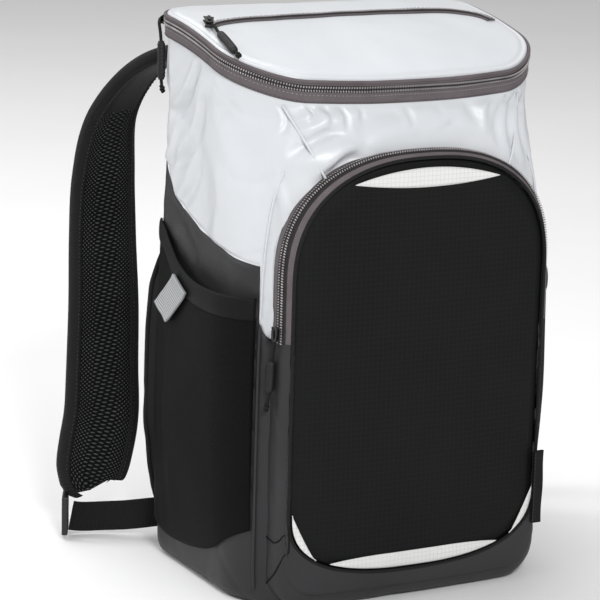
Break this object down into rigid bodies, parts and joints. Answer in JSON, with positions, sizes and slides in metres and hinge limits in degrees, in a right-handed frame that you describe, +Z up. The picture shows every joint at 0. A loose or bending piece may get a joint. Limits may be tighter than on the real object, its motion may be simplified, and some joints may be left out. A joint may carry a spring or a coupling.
{
  "type": "cooler backpack",
  "caption": "Insulated cooler backpack with a sloping zipped lid, arched front pocket, mesh side pockets and padded shoulder straps.",
  "frame": {"origin": "on the underside, below the middle of the bag", "axes": "+Z up, -Y towards the front pocket, +X to the right seen from the front"},
  "size_m": [0.396, 0.3152, 0.4507],
  "materials": {
    "white_fabric": "coated satin",
    "grey_fabric": "coated matte",
    "black_ripstop": "matte ripstop",
    "black_mesh": "matte mesh",
    "zip_tape": "woven matte",
    "zip_coil": "satin",
    "inset_fabric": "ripstop matte",
    "webbing": "woven matte",
    "tab_webbing": "ribbed matte",
    "black_plastic": "satin"
  },
  "bodies": {
    "root": {"body_upper": "white_fabric", "body_lower": "grey_fabric", "lid": "white_fabric", "lid_piping": "zip_tape", "lid_zip_tape_upper": "zip_tape", "lid_zip_coil": "zip_coil", "lid_zip_tape_lower": "zip_tape", "lid_zip_pull": "black_plastic", "lid_pocket_tape": "zip_tape", "lid_pocket_coil": "zip_coil", "lid_pocket_pull": "black_plastic", "back_panel": "black_mesh", "left_side_pocket": "black_mesh", "right_side_pocket": "black_mesh", "left_pocket_rim": "black_ripstop", "right_pocket_rim": "black_ripstop", "left_side_tab": "tab_webbing", "right_side_tab": "tab_webbing", "left_side_welt": "grey_fabric", "right_side_welt": "grey_fabric", "pocket_gusset": "grey_fabric", "pocket_panel": "black_ripstop", "panel_piping": "black_ripstop", "inset_top": "inset_fabric", "inset_bottom": "inset_fabric", "inset_left": "inset_fabric", "inset_right": "inset_fabric", "pocket_tape_outer": "zip_tape", "pocket_coil": "zip_coil", "pocket_tape_inner": "zip_tape", "pocket_zip_pull": "black_plastic", "left_front_seam": "white_fabric", "right_front_seam": "white_fabric", "seam_label": "black_ripstop", "left_strap": "black_mesh", "right_strap": "black_mesh", "left_strap_webbing": "webbing", "right_strap_webbing": "webbing", "left_buckle": "black_plastic", "right_buckle": "black_plastic"}
  },
  "joints": []
}
